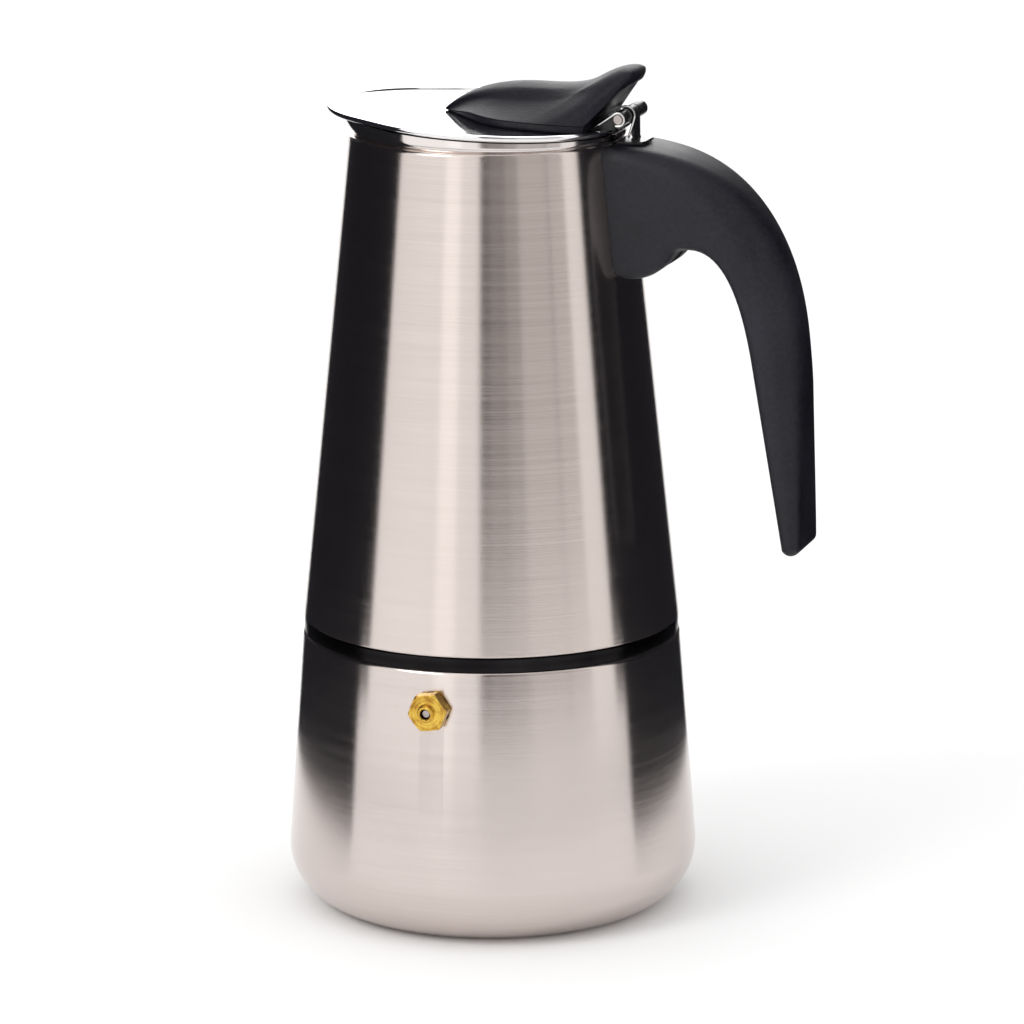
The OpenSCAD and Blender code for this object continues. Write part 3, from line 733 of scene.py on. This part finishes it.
def make_leaf():
    """Sheet on the lid that rises in a wedge to its two rolled knuckles."""
    half = corners("lid_leaf")[1].y
    bore = PIN_R + 0.05
    near_gap, far_gap = -3.9, 3.3
    front, wedge_front, rear = -13, -6.2, -1.25
    wedge = [(wedge_front, LID_TOP), (-1.5, 1.25)] + arc((0, 0), KNUCKLE_R, 128, -70, 22)
    wedge += arc((0, 0), bore, -70, 232, 22)
    wedge += [(rear, -1.6), (rear, LID_PANEL), (wedge_front, LID_PANEL)]
    sheet_outline = rounded([(front, LID_PANEL, 0), (rear, LID_PANEL, 0), (rear, LID_TOP, 0.2),
                             (front, LID_TOP, 0.3)])
    leaf = joined(plate(sheet_outline, -half, half, 0.12),
                  plate(wedge, -half, near_gap, 0.18), plate(wedge, far_gap, half, 0.18))
    piece("lid_leaf_rolled", placed(leaf, lid_to_pot()), "lid", hinge_black, ["lid_leaf"])


def make_bracket():
    """Middle knuckle, its strip with a small notch, and the foot on the handle's root."""
    strip_half = 3
    foot_top = -6.2
    foot_sheet = 0.7
    inner_x = PIN_R + 0.05
    strip = arc((0, 0), KNUCKLE_R, 0, 250, 24) + arc((0, 0), PIN_R + 0.02, 250, 0, 24)
    strip += [(inner_x, -4.9), (inner_x + 0.3, -5.5), (inner_x, -5.8), (inner_x, foot_top - 0.3),
              (KNUCKLE_R + 0.4, foot_top - 0.3), (KNUCKLE_R + 0.05, foot_top + 0.5)]
    half = corners("hinge_bracket")[1].y
    foot_front, foot_rear, corner_r = -1.6, 5.4, 3.5
    foot = rounded([(foot_front, -half, 0), (foot_rear, -half, corner_r), (foot_rear, half, corner_r),
                    (foot_front, half, 0)])
    lying = Matrix.Rotation(math.radians(90), 4, "X")
    tab_low, tab_high = -13.9, foot_top - 0.65
    tab = [(jug_at(PIN.z + z) - PIN.x + off, z)
           for off, z in ((0.02, tab_low), (0.68, tab_low), (0.68, tab_high), (0.02, tab_high))]
    solid = joined(plate(strip, -strip_half, strip_half, 0.15),
                   placed(plate(foot, foot_top - foot_sheet, foot_top, 0.15), lying),
                   plate(tab, -half, half, 0.05))
    piece("hinge_bracket_rolled", placed(solid, Matrix.Translation(PIN)), "jug", hinge_black,
          ["hinge_bracket"])


def make_pin():
    """Pin with chamfered ends and a small centre mark on the near one."""
    length = pin_high.y - pin_low.y
    side_r = PIN_R - 0.02
    face_r = PIN_R - 0.25
    chamfer = 0.22
    profile = [(0, 0.12), (0.45, 0.12), (0.55, 0), (face_r, 0), (side_r, chamfer),
               (side_r, length - chamfer), (face_r, length), (0, length)]
    turn = Matrix.Translation((PIN.x, pin_low.y, PIN.z)) @ Matrix.Rotation(math.radians(-90), 4, "X")
    piece("hinge_pin_turned", placed(lathe(profile, 48), turn), "jug", pin_steel,
          ["hinge_pin"])


def make_spring():
    """Torsion spring, which twists between the lid's leg and the bracket's leg."""
    wire_r = 0.3
    room = 0.1
    coil_r = PIN_R + wire_r + room
    turn_r = KNUCKLE_R + wire_r + room
    coil_y = -10.35
    turn_y = -3.45
    under = -100
    bend = 0.7
    run_steps = 12
    near = [(x, coil_y, z) for x, z in arc((0, 0), coil_r, 130, -110, 30)]
    turn = [(x, turn_y, z) for x, z in arc((0, 0), turn_r, under - 20, -360, 30)]
    a = math.radians(under)
    run_length = turn_y - coil_y - 2 * bend
    run = [(turn_r * math.cos(a), coil_y + bend + run_length * k / run_steps, turn_r * math.sin(a))
           for k in range(run_steps + 1)]
    path = [(-5.9, coil_y, -2.1), (-3.5, coil_y, -0.43)] + near + run + turn
    path += [(turn_r - 0.2, turn_y, -1), (1.5, turn_y, -3.2), (0.8, turn_y, -5.3)]
    spring = placed(swept(smoothed(path, 1), wire_r), Matrix.Translation(PIN))
    obj = piece("hinge_spring_wire", spring, None, wire_steel, ["hinge_spring"])
    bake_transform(obj)


# ---------------------------------------------------------------- knob

# In the lid's own frame: places along X, the height of the parting line, and half the width.
KNOB_FRONT, KNOB_REAR, KNOB_SEAM, KNOB_HALF = -48.4, -7.0, -1.4, 18.5
KNOB_ACROSS = 10
KNOB_DOWN = 12


def knob_side(u):
    """Half-width plan of the knob at its seam: u runs from the front tip to the rear."""
    front = curve((KNOB_FRONT, 0), (-43, 4.5), (-36, KNOB_HALF), (-25, KNOB_HALF), 40)
    rear = curve((-25, KNOB_HALF), (-18, KNOB_HALF + 0.3), (-12, KNOB_HALF), (KNOB_REAR, KNOB_HALF - 2), 24)
    return part_way(front + rear[1:], u)


def knob_seam(x):
    """Height of the parting line, which comes down to the lid at the front tip."""
    bend_x, drop = -37, 1.75
    return KNOB_SEAM - drop * smooth((bend_x - x) / (bend_x - KNOB_FRONT))


def knob_top(u):
    """Crest of the knob in the lid's X and Z: u runs from the front tip to the lever's end."""
    start = (KNOB_FRONT, knob_seam(KNOB_FRONT) + 0.15)
    hump, rise, crest = (-26, 5.9), (-8.5, 8.6), (-0.6, 12.1)
    points = curve(start, (-44.5, 1.0), (-38, 5.2), hump, 26)
    points += curve(hump, (-20, 6.2), (-13, 6.0), rise, 18)[1:]
    points += curve(rise, (-5.5, 10.4), (-3.5, 11.8), crest, 10)[1:]
    points += curve(crest, (2.4, 12.4), (3.5, 10.4), (1.9, 8.4), 12)[1:]
    return part_way(points, u)


def knob_station(u):
    """Points across the knob, from its seam on one side over the crest to the other."""
    top_x, top_z = knob_top(u)
    side_x, side_y = knob_side(u)
    lever = smooth((u - 0.72) / 0.2)
    ridge = 6.0 * smooth(u / 0.45) ** 0.8 * (1 - 0.1 * lever) + 1.3 * lever
    ridge = min(ridge, 0.72 * side_y)
    crown = 0.9 * min(1.0, ridge / 5) * (1 - 0.35 * lever)
    bulge = 1.6 * smooth((u - 0.85) / 0.15)
    points = []
    for k in range(KNOB_ACROSS + 1):
        y = -ridge + 2 * ridge * k / KNOB_ACROSS
        share = (y / ridge) ** 2
        points.append((top_x - bulge * share ** 2, y, top_z - crown * share ** (1 + lever)))
    edge_x, _, edge_z = points[0]
    walls = []
    falls = curve((0, 0), (0.20, 0.42), (0.58, 0.78), (1, 1), KNOB_DOWN)
    for k in range(1, KNOB_DOWN + 1):
        t = k / KNOB_DOWN
        out, fall = falls[k]
        roll = 0.35 * math.sin(math.pi * min(1.0, t * 3)) if t < 0.34 else 0
        along = t ** 0.9 + (fall - t ** 0.9) * lever
        out += (fall - out) * lever
        walls.append((edge_x + (side_x - edge_x) * along, ridge + (side_y - ridge) * out + roll,
                      edge_z + (knob_seam(side_x) - edge_z) * fall))
    left = [(x, -y, z) for x, y, z in reversed(walls)]
    return left + points + walls


def make_knob():
    """Knob's cover, whose thumb lever has a hollowed and ribbed back."""
    stations = 72
    hollow, rib = 0.7, 0.4
    rows = [knob_station(i / stations) for i in range(1, stations + 1)]
    width = len(rows[0])
    bm = bmesh.new()
    tip = bm.verts.new((KNOB_FRONT, 0, knob_seam(KNOB_FRONT) + 0.1))
    grid = [[bm.verts.new(p) for p in row] for row in rows]
    for k in range(width - 1):
        bm.faces.new((tip, grid[0][k], grid[0][k + 1]))
    for low, high in zip(grid, grid[1:]):
        for k in range(width - 1):
            bm.faces.new((low[k], high[k], high[k + 1], low[k + 1]))
    rear = grid[-1]
    ribbed = []
    for j in range(KNOB_DOWN):
        left, right = rear[j], rear[width - 1 - j]
        inner = []
        for k in range(1, KNOB_ACROSS):
            p = left.co.lerp(right.co, k / KNOB_ACROSS)
            wide = max(0.0, 1 - (abs(p.y) / max(abs(left.co.y), 0.1)) ** 6)
            p.x -= wide * (hollow + rib * (k % 2)) * smooth(j / 3)
            inner.append(bm.verts.new(p))
        ribbed.append([left] + inner + [right])
    ribbed.append(rear[KNOB_DOWN:KNOB_DOWN + KNOB_ACROSS + 1])
    for low, high in zip(ribbed, ribbed[1:]):
        for k in range(KNOB_ACROSS):
            bm.faces.new((low[k], low[k + 1], high[k + 1], high[k]))
    rim = [tip] + [row[0] for row in grid] + ribbed[0][1:-1] + [row[-1] for row in reversed(grid)]
    bm.faces.new(rim)
    bmesh.ops.recalc_face_normals(bm, faces=bm.faces)
    piece("lid_knob_cover", placed(bm, lid_to_pot()), "lid", knob_nylon, ["lid_knob"], 34)


def make_knob_base():
    """Plate under the knob, drawn in towards the lid."""
    count = 60
    half = [knob_side(i / count) for i in range(count + 1)]
    outline = half + [(x, -y) for x, y in reversed(half[1:])]
    hub = Vector((-24, 0))
    low, high = LID_PANEL + 0.02, KNOB_SEAM - 0.02
    side = ((low, 1.0), (LID_PANEL + 0.2, 0.7), (LID_PANEL + 0.8, 0.25), (KNOB_SEAM - 0.5, 0.05),
            (KNOB_SEAM - 0.22, 0.02), (KNOB_SEAM - 0.1, 0.3))

    def ring(z, inset, shrink=1.0):
        share = (z - LID_PANEL) / (KNOB_SEAM - LID_PANEL)
        points = []
        for x, y in outline:
            p = Vector((x, y))
            p = hub + (p + (hub - p).normalized() * inset - hub) * shrink
            points.append((p.x, p.y, LID_PANEL + (knob_seam(x) - LID_PANEL) * share))
        return points

    rings = [[(hub.x, 0, low)], ring(low, 1.6, 0.6)]
    rings += [ring(z, inset) for z, inset in side]
    rings += [ring(high, 0.35), ring(high, 0.35, 0.5), [(hub.x, 0, high)]]
    obj = piece("knob_base_plate", placed(loft(rings, closed=False, capped=False), lid_to_pot()), "lid",
                knob_nylon, ["knob_base"], 40)
    cut(obj, leaf_slot(-0.2, 20.2, 2.1))


# ---------------------------------------------------------------- handle

def handle_outline():
    """Side outline of the handle, each point with the radius of its two long edges."""
    low, high = corners("handle")
    reach_x, tip_z, top_z = high.x, low.z, high.z
    tip_r = 2.6
    bend_z = 140
    hollow = (71.6, 143)
    steps = 8
    outer = curve((34, top_z), (69, top_z), (reach_x, 177), (reach_x, bend_z), 40)
    straight = [(reach_x, bend_z - (bend_z - tip_z - tip_r) * k / steps) for k in range(1, steps)]
    tip = arc((reach_x - tip_r, tip_z + tip_r), tip_r, 0, -150, 10)
    start = tip[-1]
    inner_straight = [(start[0] + (hollow[0] - start[0]) * k / steps,
                       start[1] + (hollow[1] - start[1]) * k / steps) for k in range(1, steps)]
    inner = curve(hollow, (70, 153), (66.5, 174.3), (55.5, 174.3), 24)
    lobe = curve((53.6, 174.4), (50, 174.2), (50.5, 166.5), (39.5, 166.1), 18)
    root = [(36.5, 167), (30, 167), (30, top_z)]
    spans = ((outer, 3.8, 9.0), (straight, 8.4, 2.6), (tip, 2.2, 2.2), (inner_straight, 2.2, 2.8),
             (inner, 2.8, 2.6), (lobe, 2.4, 2.4), (root, 2.4, 2.4))
    points = []
    for span, first, last in spans:
        for i, (x, z) in enumerate(span):
            points.append((x, z, first + (last - first) * min(1.0, 2 * i / len(span))))
    return points


def make_handle():
    """Handle with soft long edges, fitted to the jug's cone and bored for its screw."""
    high = corners("handle")[1]
    half_root = high.y
    half_tip = 10.0
    narrowing_x = 50
    outline = handle_outline()
    count = len(outline)
    soft = 5
    radii = []
    for i in range(count):
        near = [outline[(i + k) % count][2] for k in range(-soft, soft + 1)]
        radii.append(sum(near) / len(near))
    area = sum(outline[i - 1][0] * outline[i][1] - outline[i][0] * outline[i - 1][1] for i in range(count))
    turn = 1 if area > 0 else -1
    inward = []
    for i in range(count):
        before = Vector(outline[i - 1][:2])
        after = Vector(outline[(i + 1) % count][:2])
        way = (after - before).normalized()
        inward.append(Vector((-way.y, way.x)) * turn)

    def half_width(x):
        """Half of the handle's width, which narrows towards the grip."""
        share = (x - narrowing_x) / (high.x - narrowing_x)
        return half_root - (half_root - half_tip) * smooth(share)

    steps = 7
    rings = []
    for side, order in ((-1, range(steps, -1, -1)), (1, range(steps + 1))):
        for k in order:
            a = math.pi / 2 * k / steps
            ring = []
            for (x, z, _), r, inner in zip(outline, radii, inward):
                move = r * (1 - math.cos(a))
                px, pz = x + inner.x * move, z + inner.y * move
                ring.append((px, side * (half_width(px) - r * (1 - math.sin(a))), pz))
            rings.append(ring)
    body = loft(rings, closed=False)
    for face in [f for f in body.faces if len(f.verts) > 4]:
        bmesh.ops.triangulate(body, faces=[face])
    obj = piece("handle_grip", body, "jug", grip_nylon, ["handle"], 44)
    gap = 0.03
    cone = lathe([(0, jug_low.z), (jug_at(jug_low.z) + gap, jug_low.z), (jug_at(PIN.z) + gap, PIN.z),
                  (0, PIN.z)])
    head_r, shank_r, shank_end = 4.2, 2.1, 9.2
    screw_line = Matrix.Translation((46.4, 0, 170.6)) @ Matrix.Rotation(math.radians(-41), 4, "Y")
    recess = lathe([(0, -8), (head_r, -8), (head_r, 4), (shank_r, 4.05), (shank_r, shank_end),
                    (0, shank_end)], 64)
    cut(obj, cone, placed(recess, screw_line))


make_boiler()
make_neck()
make_valve()
make_valve_spring()
make_jug()
make_collar()
make_lid()
make_leaf()
make_bracket()
make_pin()
make_spring()
make_knob()
make_knob_base()
make_handle()


# ---------------------------------------------------------------- studio

# Metres, and degrees where a value is turned with direction().
CAMERA_TURN = math.radians(17.9)
CAMERA_DISTANCE = 1.4
CAMERA_HEIGHT = 0.4322
CAMERA_PITCH, CAMERA_YAW, CAMERA_ROLL = (math.radians(a) for a in (13.292, 0.220, -0.294))
CAMERA_LENS = 197.4375
CARD_DISTANCE = 0.70
CARD_TOP = 1.6
FLAG_DISTANCE = 0.19
FLAG_STEP = 0.055
DARK = (0.016, 0.016, 0.020)
WHITE = (1.0, 1.0, 1.0)
GREY_CARDS = ((-7, 0, 0.17), (0, 12, 0.30), (12, 22, 0.42), (22, 45, 0.64), (45, 46.5, 0.38),
              (46.5, 60, 0.68))


def make_camera():
    pitch, yaw, roll = CAMERA_PITCH, CAMERA_YAW, CAMERA_ROLL
    data = bpy.data.cameras.new("camera")
    data.sensor_width = 36
    data.lens = CAMERA_LENS
    data.clip_start, data.clip_end = 0.05, 50
    obj = bpy.data.objects.new("camera", data)
    bpy.context.scene.collection.objects.link(obj)
    turn = Matrix.Rotation(CAMERA_TURN, 3, "Z")
    forward = turn @ Vector((math.sin(yaw) * math.cos(pitch), math.cos(yaw) * math.cos(pitch),
                             -math.sin(pitch)))
    right = turn @ Vector((math.cos(yaw), -math.sin(yaw), 0))
    up = right.cross(forward)
    rolled_right = math.cos(roll) * right + math.sin(roll) * up
    rolled_up = math.cos(roll) * up - math.sin(roll) * right
    basis = Matrix((rolled_right, rolled_up, -forward)).transposed()
    spot = turn @ Vector((0, -CAMERA_DISTANCE, 0)) + Vector((0, 0, CAMERA_HEIGHT))
    obj.matrix_world = Matrix.Translation(spot) @ basis.to_4x4()
    bpy.context.scene.camera = obj


def direction(turn_deg):
    """Level direction from the pot: 0 is towards the camera, and positive is to its right."""
    t = math.radians(turn_deg)
    towards = Vector((math.sin(CAMERA_TURN), -math.cos(CAMERA_TURN), 0))
    right = Vector((math.cos(CAMERA_TURN), math.sin(CAMERA_TURN), 0))
    return towards * math.cos(t) + right * math.sin(t)


def emitter(name, colour, strength):
    """Plain glowing material for the studio's cards."""
    material = bpy.data.materials.new(name)
    material.use_nodes = True
    nodes, links = material.node_tree.nodes, material.node_tree.links
    nodes.clear()
    glow = nodes.new("ShaderNodeEmission")
    glow.inputs["Color"].default_value = (*colour, 1)
    glow.inputs["Strength"].default_value = strength
    out = nodes.new("ShaderNodeOutputMaterial")
    links.new(glow.outputs[0], out.inputs["Surface"])
    return material


def card(name, start, end, edges, count, colour, strength=1.0):
    """Card bent round the pot between two edges, each a distance and a height. Only reflections show it."""
    bm = bmesh.new()
    turns = [start + (end - start) * k / count for k in range(count + 1)]
    near, far = [[bm.verts.new(direction(turn) * distance + Vector((0, 0, z))) for turn in turns]
                 for distance, z in edges]
    for k in range(count):
        bm.faces.new((near[k], near[k + 1], far[k + 1], far[k]))
    obj = shown(name, bm)
    obj.data.materials.append(emitter(name, colour, strength))
    obj.visible_camera = False
    obj.visible_diffuse = False
    obj.visible_shadow = False


def screen(name, start, end, distance, low, high, colour, strength=1.0):
    """Upright card."""
    card(name, start, end, ((distance, low), (distance, high)), 24, colour, strength)


def make_floor():
    bm = bmesh.new()
    bmesh.ops.create_grid(bm, x_segments=8, y_segments=8, size=6)
    obj = shown("floor", bm)
    look = Look("floor", Specular_IOR_Level=0.1)
    grain = look.noise(look.scaled(1, 1, 1), 3.0)
    look.colours(look.ramp(grain, 0, 1), (0.90, 0.90, 0.90), (0.92, 0.92, 0.92))
    look.rough(look.ramp(grain, 0.85, 0.95))
    obj.data.materials.append(look.material)


def make_world():
    world = bpy.data.worlds.new("studio")
    world.use_nodes = True
    bpy.context.scene.world = world
    glow = world.node_tree.nodes["Background"]
    glow.inputs["Color"].default_value = (1, 1, 1, 1)
    glow.inputs["Strength"].default_value = 1.12


def make_light(name, turn_deg, distance, height, size, power):
    """Round soft lamp that is aimed at the middle of the pot."""
    data = bpy.data.lights.new(name, "AREA")
    data.shape = "DISK"
    data.size = size
    data.energy = power
    obj = bpy.data.objects.new(name, data)
    bpy.context.scene.collection.objects.link(obj)
    spot = direction(turn_deg) * distance + Vector((0, 0, height))
    aim = Vector((0, 0, 0.12)) - spot
    obj.matrix_world = Matrix.Translation(spot) @ aim.to_track_quat("-Z", "Y").to_matrix().to_4x4()


make_camera()
make_floor()
make_world()
for side in (-1, 1):
    screen("low_flag", 76 * side, 150 * side, FLAG_DISTANCE, 0.0, FLAG_STEP, DARK)
    screen("high_flag", 69.5 * side, 150 * side, FLAG_DISTANCE, FLAG_STEP, 0.8, DARK)
screen("strip_light", -34, -22, CARD_DISTANCE, 0.0, CARD_TOP, WHITE, 1.4)
for start, end, shade in GREY_CARDS:
    screen("grey_card", start, end, CARD_DISTANCE, FLAG_STEP, CARD_TOP,
           (shade, 0.97 * shade, 0.96 * shade))
screen("back_light", 152, 208, 0.9, 0.22, 1.1, WHITE, 3.2)
card("floor_card", -80, 80, ((0.30, 0.0004), (0.345, 0.0004)), 32, DARK)
make_light("key", -50, 1.3, 1.1, 0.7, 6.0)
bpy.context.scene.view_settings.view_transform = "Standard"
